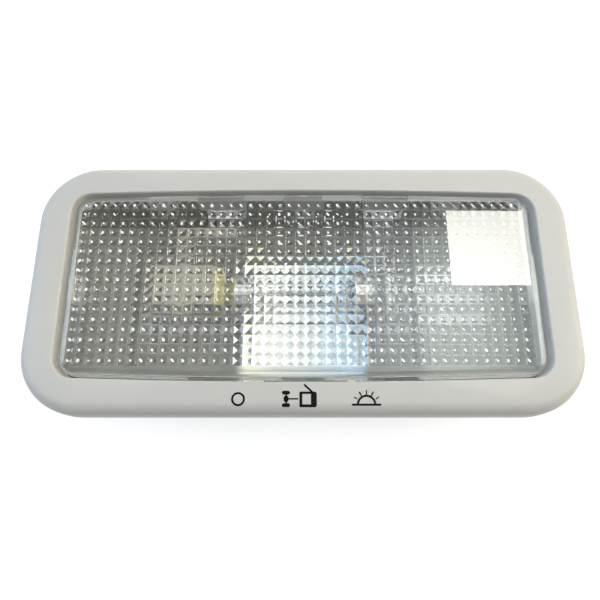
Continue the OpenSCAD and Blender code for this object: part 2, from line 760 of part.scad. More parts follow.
// Wire that holds an end of the coil, from the cap's solder to the crimp at the coil
module bulb_lead() {
    about_bulb_axis() polygon([[coil_end, 0], [coil_end, crimp_r], [coil_end + crimp_l, crimp_r],
        [coil_end + crimp_l + crimp_r - lead_r, lead_r], [glass_end, lead_r], [glass_end, 0]]);
}

module bulb_lead_left() {
    color(spring_steel) mirror([1, 0, 0]) bulb_lead();
}

module bulb_lead_right() {
    color(spring_steel) bulb_lead();
}

// Sprung clip that takes a tip of the bulb, drawn for the right-hand end, with its foot at +X
module bulb_clip() {
    path = [[clip_x + clip_foot, strip_z], [clip_x + clip_heel, strip_z],
        [clip_x + clip_heel / 4, bulb_z - clip_bend[0]],
        [clip_x, bulb_z - clip_bend[1]], [clip_x, bulb_z + clip_bend[2]],
        [clip_x + clip_flare, bulb_z + clip_bend[3]]];
    wide = supply_y + blade_w / 2;
    far = clip_x + clip_foot + blade_t;
    difference() {
        bent_sheet(path, blade_t, wide + clip_w / 2, (wide - clip_w / 2) / 2);
        block([0, -clip_w, 0], [far, supply_y - blade_w / 2, floor_z + clip_stem_top]);
        block([0, clip_w / 2, floor_z + clip_shoulder], [far, wide + 1, bulb_z + clip_bend[3] + blade_t]);
        translate([0, 0, bulb_z]) rotate([0, 90, 0]) cylinder(h = far, r = clip_hole_r, $fn = 48);
    }
}

// Blade in the connector and the strip that climbs to it from a floor-level start
module blade_strip(start_x, y) {
    bent_sheet([[socket_x, blade_tip_z], [socket_x, shelf_strip_z], [riser_x, shelf_strip_z],
        [riser_x, strip_z],
        [start_x, strip_z]], blade_t, blade_w, y);
}

module bulb_contact_right() {
    color(brass) difference() {
        union() {
            bulb_clip();
            blade_strip(clip_x + clip_eyelet, supply_y);
        }
        eyelet_holes();
    }
}

// Tip of a contact finger, as far below the bridge as the rocker's full swing asks
rocker_swing = rock_angle * leg_x / (rocker_x - leg_x);
finger_gap = 0.35;
function finger_z(from_shaft, under) =
    under - from_shaft * sin(rocker_swing) - finger_gap - blade_t * 0.75;
bridge_under = rocker_under - bridge_t;
cradle_gap = 0.25;
cradle_under = rocker_z - shaft_d / 2 - cradle_gap - bridge_t;
cradle_half = shaft_d / 2 + 2 * cradle_gap + bridge_t / 2;
bridge_half = rocker_l / 2 - 0.5;
finger_run = 4;
finger_start = 6;

module bulb_contact_left() {
    start = -clip_x - clip_eyelet;
    finger = -rocker_x + cradle_half - 1;
    color(brass) difference() {
        union() {
            mirror([1, 0, 0]) bulb_clip();
            bent_sheet([[start, strip_z], [finger + finger_run * 0.85, strip_z],
                [finger, finger_z(cradle_half, cradle_under)]],
                blade_t, blade_w, supply_y);
        }
        eyelet_holes();
    }
}

module door_contact() {
    tip = -rocker_x + bridge_half - 2;
    color(tin) difference() {
        union() {
            blade_strip(tip + finger_run, door_y);
            bent_sheet([[tip + finger_start, strip_z], [tip + finger_run, strip_z],
                [tip, finger_z(bridge_half - 1, bridge_under)]],
                blade_t, blade_w, door_y);
        }
        eyelet_holes();
    }
}

module ground_contact() {
    tip = -rocker_x - bridge_half + 2;
    turn = tip - finger_run - blade_t;
    color(tin) difference() {
        union() {
            blade_strip(turn, ground_y);
            block([turn - blade_w / 2, ground_y - blade_w / 2, floor_z],
                [turn + blade_w / 2, door_y + blade_w / 2, sheet_floor]);
            bent_sheet([[turn, strip_z], [tip - finger_run, strip_z],
                [tip, finger_z(bridge_half - 1, bridge_under)]],
                blade_t, blade_w, door_y);
        }
        eyelet_holes();
    }
}

module contact_rocker() {
    jaw_half = fork_gap / 2 + fork_jaw;
    reach = lever_reach - rocker_x;
    color(beige) {
        block([-rocker_x - rocker_l / 2, rocker_y - rocker_w / 2, rocker_under],
            [-rocker_x + rocker_l / 2, rocker_y + rocker_w / 2, rocker_top]);
        rod_y(-rocker_x, post_low_y - 0.4, lever_y + lever_t, rocker_z, shaft_d / 2);
        difference() {
            union() {
                rod_y(-rocker_x, lever_y, lever_y + lever_t, rocker_z, jaw_half);
                block([-rocker_x, lever_y, rocker_z - jaw_half],
                    [reach, lever_y + lever_t, rocker_z + jaw_half]);
            }
            block([-leg_x - drive_pin_d / 2 - 1.4, lever_y - 1, rocker_z - fork_gap / 2],
                [reach + 1, lever_y + lever_t + 1, rocker_z + fork_gap / 2]);
        }
    }
}

// Copper bridge under the rocker's plate, sprung round the shaft
module bridge_contact() {
    flat_z = rocker_under - bridge_t / 2;
    low_z = cradle_under + bridge_t / 2;
    path = [for (p = [[-bridge_half, flat_z], [-cradle_half - 0.6, flat_z], [-cradle_half, low_z],
        [cradle_half, low_z], [cradle_half + 0.6, flat_z], [bridge_half, flat_z]]) [p[0] - rocker_x, p[1]]];
    color(copper) bent_sheet(path, bridge_t, bridge_w, rocker_y);
}

module detent_spring() {
    low = floor_z + detent_t / 2;
    nose = leg_in - detent_gap - detent_t * 0.6;
    back = nose - 0.75 * detent_rise;
    color(spring_steel) difference() {
        cross_sheet([[leg_in - detent_foot[1], low], [leg_in - detent_foot[0], low],
            [back, detent_z - detent_rise],
            [nose, detent_z], [back, detent_z + detent_rise],
                [nose - detent_rise, detent_z + 2 * detent_rise]],
            detent_t, detent_w, detent_x);
        eyelet_holes();
    }
}

// Retaining spring on the end wall at +X: a flat base and a bowed arm that grips the headliner
module retaining_spring() {
    x0 = out_hx + retainer_t / 2;
    bent_sheet([[x0, retainer_high], [x0, retainer_low], [x0 + retainer_bow, retainer_bow_z],
        [x0 + retainer_tip, retainer_high - retainer_drop]], retainer_t, retainer_w, 0);
    block([out_hx, -retainer_base_w / 2, retainer_base_low],
        [out_hx + retainer_t, retainer_base_w / 2, retainer_high]);
}

module retaining_spring_left() {
    color(spring_steel) mirror([1, 0, 0]) retaining_spring();
}

module retaining_spring_right() {
    color(spring_steel) retaining_spring();
}

// Tubular eyelets that rivet the sheet parts to the moulded floor and shelf
module eyelets() {
    color(brass) for (e = EYELETS) translate([e[0], e[1], 0]) difference() {
        union() {
            translate([0, 0, e[2] - eyelet_head_t]) cylinder(h = eyelet_head_t, r = eyelet_head_r, $fn = 32);
            translate([0, 0, e[2] - 0.1]) cylinder(h = e[3] - e[2] + 0.2, r = eyelet_r, $fn = 24);
            translate([0, 0, e[3]]) cylinder(h = eyelet_head_t, r = eyelet_head_r, $fn = 32);
        }
        translate([0, 0, e[2] - 1]) cylinder(h = e[3] - e[2] + 3, r = eyelet_r / 2, $fn = 24);
    }
}

bezel();
rear_housing();
lens();
reflector();
bulb_glass();
bulb_cap_left();
bulb_cap_right();
bulb_filament();
bulb_lead_left();
bulb_lead_right();
bulb_contact_left();
bulb_contact_right();
door_contact();
ground_contact();
contact_rocker();
bridge_contact();
detent_spring();
retaining_spring_left();
retaining_spring_right();
eyelets();
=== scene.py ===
import json
import math

import bpy
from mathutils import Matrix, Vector

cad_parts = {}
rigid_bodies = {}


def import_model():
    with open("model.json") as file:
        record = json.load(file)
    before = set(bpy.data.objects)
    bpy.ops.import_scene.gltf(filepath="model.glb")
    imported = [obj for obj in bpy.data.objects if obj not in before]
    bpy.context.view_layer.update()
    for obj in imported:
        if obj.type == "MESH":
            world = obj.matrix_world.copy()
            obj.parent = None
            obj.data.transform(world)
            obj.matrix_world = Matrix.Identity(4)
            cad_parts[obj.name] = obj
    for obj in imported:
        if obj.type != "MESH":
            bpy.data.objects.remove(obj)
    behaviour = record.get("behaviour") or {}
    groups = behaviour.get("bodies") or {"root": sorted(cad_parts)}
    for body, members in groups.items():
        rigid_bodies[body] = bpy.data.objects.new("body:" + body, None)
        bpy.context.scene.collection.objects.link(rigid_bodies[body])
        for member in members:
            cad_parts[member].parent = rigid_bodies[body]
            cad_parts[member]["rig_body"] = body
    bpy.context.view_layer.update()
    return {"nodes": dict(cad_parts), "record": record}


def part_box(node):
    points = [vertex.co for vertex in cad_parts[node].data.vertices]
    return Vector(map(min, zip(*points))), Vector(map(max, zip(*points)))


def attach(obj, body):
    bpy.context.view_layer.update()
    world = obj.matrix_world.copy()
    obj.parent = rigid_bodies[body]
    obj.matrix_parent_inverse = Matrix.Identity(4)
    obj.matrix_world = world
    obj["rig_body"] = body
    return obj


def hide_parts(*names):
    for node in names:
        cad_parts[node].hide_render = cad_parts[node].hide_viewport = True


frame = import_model()

MM = 0.001


# Camera, over the long front side of the lens, looking down on the prisms

CAMERA_TILT = math.radians(18)
CAMERA_DISTANCE = 144 * MM
CAMERA_AIM = Vector((0, -3.3, 27.1)) * MM
CAMERA_SENSOR = 36
CAMERA_NEAR = 10 * MM

# Focal length, frame and the point where the camera's axis meets it, in the photo's pixels
FOCAL_PX = 596
FRAME_PX = 600
AXIS_PX = (303, 295)


def make_camera():
    data = bpy.data.cameras.new("camera")
    data.sensor_width = CAMERA_SENSOR
    data.lens = CAMERA_SENSOR * FOCAL_PX / FRAME_PX
    data.shift_x = (FRAME_PX / 2 - AXIS_PX[0]) / FRAME_PX
    data.shift_y = (AXIS_PX[1] - FRAME_PX / 2) / FRAME_PX
    data.clip_start = CAMERA_NEAR
    towards_camera = Vector((0, -math.sin(CAMERA_TILT), math.cos(CAMERA_TILT)))
    camera = bpy.data.objects.new("camera", data)
    camera.location = CAMERA_AIM + CAMERA_DISTANCE * towards_camera
    camera.rotation_euler = (CAMERA_TILT, 0, 0)
    bpy.context.scene.collection.objects.link(camera)
    bpy.context.scene.camera = camera


# Shader building blocks

# Gives a socket a number, a colour or the result of another node
def feed(tree, value, socket):
    if isinstance(value, (int, float)):
        socket.default_value = value
    elif isinstance(value, tuple):
        socket.default_value = (*value, 1)
    else:
        tree.links.new(value, socket)


# Shader maths: each call adds a node and returns its result
class Sums:
    def __init__(self, tree):
        self.tree = tree

    def __call__(self, operation, *values):
        node = self.tree.nodes.new("ShaderNodeMath")
        node.operation = operation
        for value, socket in zip(values, node.inputs):
            feed(self.tree, value, socket)
        return node.outputs[0]

    # Keeps a value between 0 and 1
    def limit(self, value):
        return self("MINIMUM", self("MAXIMUM", value, 0), 1)


def split(tree, vector):
    parts = tree.nodes.new("ShaderNodeSeparateXYZ")
    tree.links.new(vector, parts.inputs[0])
    return parts.outputs


def object_coords(tree):
    return tree.nodes.new("ShaderNodeTexCoord").outputs["Object"]


# Runs from one colour to another while a value runs over a span
def run_colours(tree, value, span, colours):
    reach = tree.nodes.new("ShaderNodeMapRange")
    ramp = tree.nodes.new("ShaderNodeValToRGB")
    for name, end in zip(("From Min", "From Max"), span):
        reach.inputs[name].default_value = end
    for element, colour in zip(ramp.color_ramp.elements, colours):
        element.color = (*colour, 1)
    tree.links.new(value, reach.inputs["Value"])
    tree.links.new(reach.outputs["Result"], ramp.inputs["Fac"])
    return ramp.outputs["Color"]


def mix_colours(tree, first, second, factor, mode="MIX"):
    blend = tree.nodes.new("ShaderNodeMix")
    blend.data_type = "RGBA"
    blend.blend_type = mode
    for name, value in (("A", first), ("B", second), ("Factor", factor)):
        feed(tree, value, blend.inputs[name])
    return blend.outputs["Result"]


def mix_shaders(tree, first, second, factor):
    mix = tree.nodes.new("ShaderNodeMixShader")
    for value, socket in zip((factor, first, second), mix.inputs):
        feed(tree, value, socket)
    return mix.outputs[0]


# Studio: places and sizes in metres, strengths as radiance, a fade as a share of the light

WINDOW = dict(place=(0.246, 0.258, 0.628), size=(0.104, 0.107), radiance=14,
              colour=(1.0, 0.98, 0.90))
WINDOW_WALL = dict(place=(0.19, 0.16, 0.640), size=(0.32, 0.34), radiance=3.9,
                   colour=(0.90, 0.97, 1.0))
WINDOW_WALL_FADE = 0.4
CEILING = dict(place=(0, 0.09, 0.75), size=(1.3, 0.5), radiance=1.0, colour=(1, 1, 1))
CEILING_SPAN = (-0.15, 0.15)
CEILING_COLOURS = ((1.10, 1.08, 1.0), (0.52, 0.60, 0.66))
BACK = dict(place=(0.1, 0.85, 0.5), size=(0.8, 0.3), radiance=2.4, colour=(1.0, 0.99, 0.95))
WARM_RIGHT = dict(place=(0.5, 0.05, 0.30), size=(0.3, 0.3), radiance=5.6,
                  colour=(1.0, 0.92, 0.76))
COOL_LEFT = dict(place=(-0.6, 0.05, 0.35), size=(0.4, 0.3), radiance=4.5,
                 colour=(0.50, 0.71, 1.0))
OBJECT_MIDDLE = Vector((0, 0, 0.02))

# Light that the surroundings give the object, and how much dimmer mirrors show them overhead,
# from one steepness of the view to another
WORLD_LIGHT = 0.15
ROOM_DIMMING = 0.6
ROOM_STEEPNESS = (0.2, 0.7)

# Floor: its own glow near the object and far away, and the distances between which it rises
FLOOR_SIZE = 4
FLOOR_DROP = 0.2 * MM
FLOOR_GREY = (0.66, 0.66, 0.66)
FLOOR_GLOW = (0.76, 1.0)
FLOOR_FADE = (0.25, 0.9)


# Rectangular lamp that faces the object or straight down
def area_light(name, place, size, radiance, colour, facing_down=False):
    data = bpy.data.lights.new(name, "AREA")
    data.shape = "RECTANGLE"
    data.size, data.size_y = size
    data.energy = radiance * math.pi * size[0] * size[1]
    data.color = colour
    light = bpy.data.objects.new(name, data)
    light.location = place
    aim = Vector((place[0], place[1], 0)) if facing_down else OBJECT_MIDDLE
    light.rotation_euler = (aim - Vector(place)).to_track_quat("-Z", "Y").to_euler()
    bpy.context.scene.collection.objects.link(light)
    return light


def light_nodes(light):
    light.data.use_nodes = True
    tree = light.data.node_tree
    return tree, tree.nodes["Emission"], tree.nodes.new("ShaderNodeNewGeometry")


# Fades a light towards its edges, so that what mirrors it shows no hard border
def soften_edges(light, width):
    tree, glow, geometry = light_nodes(light)
    sums = Sums(tree)
    place = split(tree, geometry.outputs["Parametric"])
    fades = []
    for axis in ("X", "Y"):
        from_middle = sums("ABSOLUTE", sums("SUBTRACT", place[axis], 0.5))
        from_edge = sums("SUBTRACT", 0.5, from_middle)
        fades.append(sums("MINIMUM", sums("DIVIDE", from_edge, width), 1))
    tree.links.new(sums("MULTIPLY", *fades), glow.inputs["Strength"])


# Turns a light's colour and strength from left to right, as daylight does on a ceiling
def grade_light(light, span, colours):
    tree, glow, geometry = light_nodes(light)
    place = split(tree, geometry.outputs["Position"])
    tree.links.new(run_colours(tree, place["X"], span, colours), glow.inputs["Color"])


# The lens mirrors the window at its right end, and the bright wall round it
def make_lights():
    area_light("window", facing_down=True, **WINDOW)
    wall = area_light("window_wall", facing_down=True, **WINDOW_WALL)
    soften_edges(wall, WINDOW_WALL_FADE)
    ceiling = area_light("ceiling", facing_down=True, **CEILING)
    grade_light(ceiling, CEILING_SPAN, CEILING_COLOURS)
    area_light("back", **BACK)
    area_light("warm_right", **WARM_RIGHT)
    area_light("cool_left", **COOL_LEFT)


# Two results: 1 for rays straight from the camera, and 1 for rays that show it something by
# mirrors and glass. Rays that light a matt surface get 0, so that the white surroundings add
# no light to the object
def shown_rays(tree, sums):
    rays = tree.nodes.new("ShaderNodeLightPath").outputs
    mirrored = sums("MAXIMUM", rays["Is Glossy Ray"], rays["Is Transmission Ray"])
    unlit = sums("LESS_THAN", rays["Diffuse Depth"], 0.5)
    return rays["Is Camera Ray"], sums("MULTIPLY", mirrored, unlit)


# White all round for the camera; mirrors and glass see it too, dimmer overhead
def make_world():
    world = bpy.data.worlds.new("studio")
    bpy.context.scene.world = world
    world.use_nodes = True
    tree = world.node_tree
    tree.nodes.clear()
    sums = Sums(tree)
    camera_rays, mirrored = shown_rays(tree, sums)
    view = split(tree, tree.nodes.new("ShaderNodeTexCoord").outputs["Generated"])
    low, high = ROOM_STEEPNESS
    overhead = sums.limit(sums("DIVIDE", sums("SUBTRACT", view["Z"], low), high - low))
    room = sums("SUBTRACT", 1, sums("MULTIPLY", overhead, ROOM_DIMMING))
    shown = sums("ADD", camera_rays, sums("MULTIPLY", mirrored, room))
    paint = tree.nodes.new("ShaderNodeBackground")
    out = tree.nodes.new("ShaderNodeOutputWorld")
    paint.inputs["Color"].default_value = (1, 1, 1, 1)
    tree.links.new(sums("MAXIMUM", shown, WORLD_LIGHT), paint.inputs["Strength"])
    tree.links.new(paint.outputs[0], out.inputs["Surface"])


# White paint that keeps the object's shadow and glows up to the white of the surroundings
def floor_material():
    material = bpy.data.materials.new("floor_white")
    material.use_nodes = True
    tree = material.node_tree
    tree.nodes.clear()
    sums = Sums(tree)
    out = tree.nodes.new("ShaderNodeOutputMaterial")
    paint = tree.nodes.new("ShaderNodeBsdfDiffuse")
    glow = tree.nodes.new("ShaderNodeEmission")
    add = tree.nodes.new("ShaderNodeAddShader")
    away = tree.nodes.new("ShaderNodeVectorMath")
    fade = tree.nodes.new("ShaderNodeMapRange")
    away.operation = "LENGTH"
    ends = zip(("From Min", "From Max", "To Min", "To Max"), FLOOR_FADE + FLOOR_GLOW)
    for name, value in ends:
        fade.inputs[name].default_value = value
    tree.links.new(object_coords(tree), away.inputs[0])
    tree.links.new(away.outputs["Value"], fade.inputs["Value"])
    seen = sums("ADD", *shown_rays(tree, sums))
    level = sums("MULTIPLY", seen, fade.outputs["Result"])
    tree.links.new(level, glow.inputs["Strength"])
    paint.inputs["Color"].default_value = (*FLOOR_GREY, 1)
    tree.links.new(paint.outputs[0], add.inputs[0])
    tree.links.new(glow.outputs[0], add.inputs[1])
    tree.links.new(add.outputs[0], out.inputs["Surface"])
    return material


def make_floor():
    bpy.ops.mesh.primitive_plane_add(size=FLOOR_SIZE, location=(0, 0, -FLOOR_DROP))
    floor = bpy.context.object
    floor.name = "floor"
    floor.data.materials.append(floor_material())


# Materials: colours as a darker and a lighter tint, lengths in millimetres

# Plastics: the tints, the roughness and the strength of the moulded grain
PLASTICS = {
    "bezel_plastic": (((0.645, 0.625, 0.585), (0.665, 0.645, 0.605)), 0.42, 0.10),
    # The housing's dark olive grey is partly painted shade, for the shade inside the lamp
    "housing_plastic": (((0.24, 0.245, 0.20), (0.27, 0.275, 0.225)), 0.45, 0.15),
    "rocker_plastic": (((0.55, 0.50, 0.38), (0.58, 0.53, 0.41)), 0.5, 0.1),
}
SIGN_INK = (((0.004, 0.004, 0.004), (0.008, 0.008, 0.008)), 0.8, 0.1)
SIGN_INK_SHINE = 0.15
PLASTIC_IOR = 1.5
PLASTIC_CLOUDS = 40
PLASTIC_GRAIN = 3000

# Metals: the tints and the roughness
METALS = {
    "cap_metal": (((0.58, 0.57, 0.54), (0.63, 0.62, 0.59)), 0.3),
    "contact_tinned": (((0.44, 0.45, 0.45), (0.49, 0.50, 0.50)), 0.55),
    "lead_wire": (((0.55, 0.54, 0.50), (0.60, 0.58, 0.54)), 0.4),
    "bridge_copper": (((0.75, 0.48, 0.30), (0.80, 0.52, 0.34)), 0.35),
    "spring_steel": (((0.50, 0.50, 0.52), (0.56, 0.56, 0.58)), 0.35),
    "filament_wire": (((0.30, 0.30, 0.31), (0.34, 0.34, 0.35)), 0.4),
}
METAL_CLOUDS = 120
METAL_GRAIN = 900
METAL_GRAIN_STRENGTH = 0.2

# Clouds of tint and grain: how fine their noise is, and how deep the grain
CLOUD_DETAIL = 2
CLOUD_SPAN = (0.35, 0.65)
GRAIN_DETAIL = 3
GRAIN_DEPTH = 0.05 * MM

# Bulb contacts: where the tin plating starts, left and right of the middle
BRASS = (((0.97, 0.85, 0.30), (1.0, 0.89, 0.34)), 0.28)
BRASS_METALLIC = 0.6
PLATING_TIN = (0.50, 0.51, 0.51)
PLATING_START = (27, 14)
PLATING_FADE = 1.5

# Reflector, with the painted reflection at its two ends: cream at the left, cool blue-grey at
# the right
REFLECTOR = (((0.95, 0.96, 0.97), (1, 1, 1)), 0.14)
REFLECTOR_HALF = 15
REFLECTOR_PAINTED_REFLECTION = ((0.90, 0.88, 0.78), (0.26, 0.36, 0.46))

# Clear materials: a shade is the colour of the light that they let through. The bulb's glass
# bends light less than real glass does, so that the bulb shows less
GLASS_IOR = 1.08
GLASS_TINT = (1, 1, 1)
GLASS_SHADE = (0.97, 0.97, 0.97)
LENS_IOR = 1.585
LENS_TINT = (0.97, 0.98, 0.97)
TOP_SHADE = (0.86, 0.86, 0.85)
PRISM_SHADE = (0.225, 0.225, 0.2)

# Roughness of the lens's walls, and how far above the prisms' base it reaches
WALL_FROST = 0.35
WALL_TOP = 0.6

# Field of prisms, with the sizes of the part's source and a margin for its heights
PRISM_BASE = 26.5
PRISM_PITCH = (2.45, 2.5)
PRISM_SHIFT = (-0.7, 0.55)
PRISM_COUNT = (45, 17)
PRISM_SLOPE = math.radians(15)
PRISM_TIP = PRISM_BASE - PRISM_PITCH[1] / 2 * math.tan(PRISM_SLOPE)
PRISM_MARGIN = 0.05

# Height by which the facets swell, and its steepness towards the grooves
PILLOW_SWELL = 0.105
PILLOW_POWER = 4

# White dot by each prism's point, part glint and part painted highlight, in pitches: place,
# smallest and largest radius, soft edge
DOT_PLACE = (-0.16, 0.03)
DOT_RADIUS = (0.08, 0.155)
DOT_SOFT = 0.03

# How far the lean varies, the chance that leaves a dot upright, and its width over its length
DOT_LEAN = 1.0
DOT_UPRIGHT = 0.3
DOT_SHAPE = 0.75

# The dots' glint, which mirrors the lamps, and the white painted highlight that is mixed with it
DOT_GLINT = (1, 1, 1)
DOT_GLINT_ROUGHNESS = 0.38
DOT_PAINTED_HIGHLIGHT = (0.95, 0.95, 0.93)
DOT_PAINTED_HIGHLIGHT_SHARE = 0.5

# Flatter prisms over the reflector: place and half size of their field, and what is left of the
# swell and of the dots, which are part glint and part painted highlight
FLAT_MIDDLE = (0, -8)
FLAT_HALF = (16, 14.5)
FLAT_SWELL = 0.05
FLAT_DOTS = 0.2


def new_material(name):
    material = bpy.data.materials.new(name)
    material.use_nodes = True
    return material, material.node_tree, material.node_tree.nodes["Principled BSDF"]


def object_noise(tree, scale, detail):
    noise = tree.nodes.new("ShaderNodeTexNoise")
    noise.inputs["Scale"].default_value = scale
    noise.inputs["Detail"].default_value = detail
    tree.links.new(object_coords(tree), noise.inputs["Vector"])
    return noise.outputs["Fac"]


# Bumps a surface by a height
def add_bump(tree, shader, height, strength, distance):
    bump = tree.nodes.new("ShaderNodeBump")
    bump.inputs["Strength"].default_value = strength
    bump.inputs["Distance"].default_value = distance
    tree.links.new(height, bump.inputs["Height"])
    tree.links.new(bump.outputs["Normal"], shader.inputs["Normal"])


def add_grain(tree, shader, scale, strength):
    add_bump(tree, shader, object_noise(tree, scale, GRAIN_DETAIL), strength, GRAIN_DEPTH)


def add_clouds(tree, shader, colours, scale):
    noise = object_noise(tree, scale, CLOUD_DETAIL)
    tint = run_colours(tree, noise, CLOUD_SPAN, colours)
    tree.links.new(tint, shader.inputs["Base Color"])


def moulded_plastic(name, colours, roughness, grain):
    material, tree, shader = new_material(name)
    shader.inputs["Roughness"].default_value = roughness
    shader.inputs["IOR"].default_value = PLASTIC_IOR
    add_clouds(tree, shader, colours, PLASTIC_CLOUDS)
    add_grain(tree, shader, PLASTIC_GRAIN, grain)
    return material


def sign_ink():
    material = moulded_plastic("sign_ink", *SIGN_INK)
    shader = material.node_tree.nodes["Principled BSDF"]
    shader.inputs["Specular IOR Level"].default_value = SIGN_INK_SHINE
    return material


def sheet_metal(name, colours, roughness):
    material, tree, shader = new_material(name)
    shader.inputs["Metallic"].default_value = 1
    shader.inputs["Roughness"].default_value = roughness
    add_clouds(tree, shader, colours, METAL_CLOUDS)
    add_grain(tree, shader, METAL_GRAIN, METAL_GRAIN_STRENGTH)
    return material


# The left contact is brass at the bulb and tinned towards its terminal, the right one is
# tinned all over
def contact_brass():
    material = sheet_metal("contact_brass", *BRASS)
    tree = material.node_tree
    shader = tree.nodes["Principled BSDF"]
    shader.inputs["Metallic"].default_value = BRASS_METALLIC
    base = shader.inputs["Base Color"]
    brass = base.links[0].from_socket
    place = split(tree, object_coords(tree))
    sums = Sums(tree)
    left = sums("SUBTRACT", sums("MULTIPLY", place["X"], -1), PLATING_START[0] * MM)
    right = sums("SUBTRACT", place["X"], PLATING_START[1] * MM)
    beyond = sums("MAXIMUM", left, right)
    plated = sums.limit(sums("DIVIDE", beyond, PLATING_FADE * MM))
    tree.links.new(mix_colours(tree, brass, PLATING_TIN, plated), base)
    return material


# Bright sheet with a painted reflection: its colour turns from cream at the left end to a cool
# blue-grey at the right
def reflector_metal():
    material = sheet_metal("reflector_metal", *REFLECTOR)
    tree = material.node_tree
    base = tree.nodes["Principled BSDF"].inputs["Base Color"]
    sheet = base.links[0].from_socket
    place = split(tree, object_coords(tree))
    span = (-REFLECTOR_HALF * MM, REFLECTOR_HALF * MM)
    # Painted reflection: cream at the left end, cool blue-grey at the right
    tint = run_colours(tree, place["X"], span, REFLECTOR_PAINTED_REFLECTION)
    tree.links.new(mix_colours(tree, sheet, tint, 1, "MULTIPLY"), base)
    return material


# Clear solid that lets light through to what lies behind it. Returns the node that shades
# that light too
def clear_material(name, ior, tint, shade):
    material, tree, shader = new_material(name)
    shader.inputs["Base Color"].default_value = (*tint, 1)
    shader.inputs["Transmission Weight"].default_value = 1
    shader.inputs["Roughness"].default_value = 0
    shader.inputs["IOR"].default_value = ior
    through = tree.nodes.new("ShaderNodeBsdfTransparent")
    through.inputs["Color"].default_value = (*shade, 1)
    shadow_rays = tree.nodes.new("ShaderNodeLightPath").outputs["Is Shadow Ray"]
    both = mix_shaders(tree, shader.outputs[0], through.outputs[0], shadow_rays)
    tree.links.new(both, tree.nodes["Material Output"].inputs["Surface"])
    return material, through


def bulb_glass():
    return clear_material("bulb_glass", GLASS_IOR, GLASS_TINT, GLASS_SHADE)[0]


# Place along one axis in prisms, counted from the middle of the field's middle prism
def prism_place(sums, place, axis):
    from_middle = sums("SUBTRACT", place[axis], PRISM_SHIFT[axis] * MM)
    return sums("DIVIDE", from_middle, PRISM_PITCH[axis] * MM)


# Distance from the middle of the nearest prism, as -0.5 to 0.5 of the pitch
def prism_offset(sums, prism):
    return sums("SUBTRACT", sums("FRACT", sums("ADD", prism, 0.5)), 0.5)


# 1 on the prisms' facets, 0 on the rest of the lens
def prism_mask(sums, place, prisms):
    in_x = sums("LESS_THAN", sums("ABSOLUTE", prisms[0]), PRISM_COUNT[0] / 2)
    in_y = sums("LESS_THAN", sums("ABSOLUTE", prisms[1]), PRISM_COUNT[1] / 2)
    under = sums("LESS_THAN", place["Z"], (PRISM_BASE + PRISM_MARGIN) * MM)
    over = sums("GREATER_THAN", place["Z"], (PRISM_TIP - PRISM_MARGIN) * MM)
    return sums("MULTIPLY", sums("MULTIPLY", in_x, in_y), sums("MULTIPLY", under, over))


# 1 over the reflector, where the mould is polished flatter and the dots' painted highlights are
# fainter, and 0 elsewhere
def flat_field(sums, place):
    inside = []
    for axis, middle, half in zip("XY", FLAT_MIDDLE, FLAT_HALF):
        away = sums("ABSOLUTE", sums("SUBTRACT", place[axis], middle * MM))
        inside.append(sums("LESS_THAN", away, half * MM))
    return sums("MULTIPLY", *inside)


# The mask, weakened to a given share over the reflector
def weaken_flat(sums, mask, flat, share):
    return sums("SUBTRACT", mask, sums("MULTIPLY", sums("MULTIPLY", flat, mask), 1 - share))


# Even random numbers from 0 to 1, three for each prism
def prism_chances(tree, sums, prisms):
    cell = tree.nodes.new("ShaderNodeCombineXYZ")
    noise = tree.nodes.new("ShaderNodeTexWhiteNoise")
    parts = tree.nodes.new("ShaderNodeSeparateColor")
    for prism, socket in zip(prisms, cell.inputs):
        tree.links.new(sums("FLOOR", sums("ADD", prism, 0.5)), socket)
    tree.links.new(cell.outputs[0], noise.inputs["Vector"])
    tree.links.new(noise.outputs["Color"], parts.inputs[0])
    return parts.outputs


# 1 on the dots, part glint and part painted highlight, which lean and grow a little differently
# from one prism to the next
def dot_amount(tree, sums, prisms, offsets):
    chances = prism_chances(tree, sums, prisms)
    lean = sums("MULTIPLY", sums("SUBTRACT", chances[0], DOT_UPRIGHT), DOT_LEAN)
    from_y = sums("SUBTRACT", offsets[1], DOT_PLACE[1])
    straight_x = sums("SUBTRACT", offsets[0], DOT_PLACE[0])
    from_x = sums("ADD", straight_x, sums("MULTIPLY", from_y, lean))
    long_y = sums("MULTIPLY", from_y, DOT_SHAPE)
    squares = [sums("MULTIPLY", side, side) for side in (from_x, long_y)]
    away = sums("SQRT", sums("ADD", *squares))
    small, large = DOT_RADIUS
    radius = sums("ADD", small, sums("MULTIPLY", chances[1], large - small))
    return sums.limit(sums("DIVIDE", sums("SUBTRACT", radius, away), DOT_SOFT))


# What a dot is made of: half a glint that mirrors the lamps, half a white painted highlight
def dot_shader(tree):
    glint = tree.nodes.new("ShaderNodeBsdfGlossy")
    painted_highlight = tree.nodes.new("ShaderNodeBsdfDiffuse")
    glint.inputs["Color"].default_value = (*DOT_GLINT, 1)
    glint.inputs["Roughness"].default_value = DOT_GLINT_ROUGHNESS
    painted_highlight.inputs["Color"].default_value = (*DOT_PAINTED_HIGHLIGHT, 1)
    return mix_shaders(tree, glint.outputs[0], painted_highlight.outputs[0], DOT_PAINTED_HIGHLIGHT_SHARE)


# The moulded facets swell between their edges, so they are steepest along the grooves
def add_pillow_bump(tree, sums, shader, offsets, amount):
    sides = [sums("ABSOLUTE", offset) for offset in offsets]
    far = sums("MULTIPLY", sums("MAXIMUM", *sides), 2)
    swell = sums("SUBTRACT", far, sums("POWER", far, PILLOW_POWER))
    height = sums("MULTIPLY", sums("MULTIPLY", swell, PILLOW_SWELL * MM), amount)
    add_bump(tree, shader, height, 1, 1)


# The lens's side walls are matt, and so is the border of its inner face
def frost_walls(tree, sums, shader, place, mask):
    under_plate = sums("LESS_THAN", place["Z"], (PRISM_BASE + WALL_TOP) * MM)
    frost = sums("MULTIPLY", sums("SUBTRACT", under_plate, mask), WALL_FROST)
    tree.links.new(frost, shader.inputs["Roughness"])
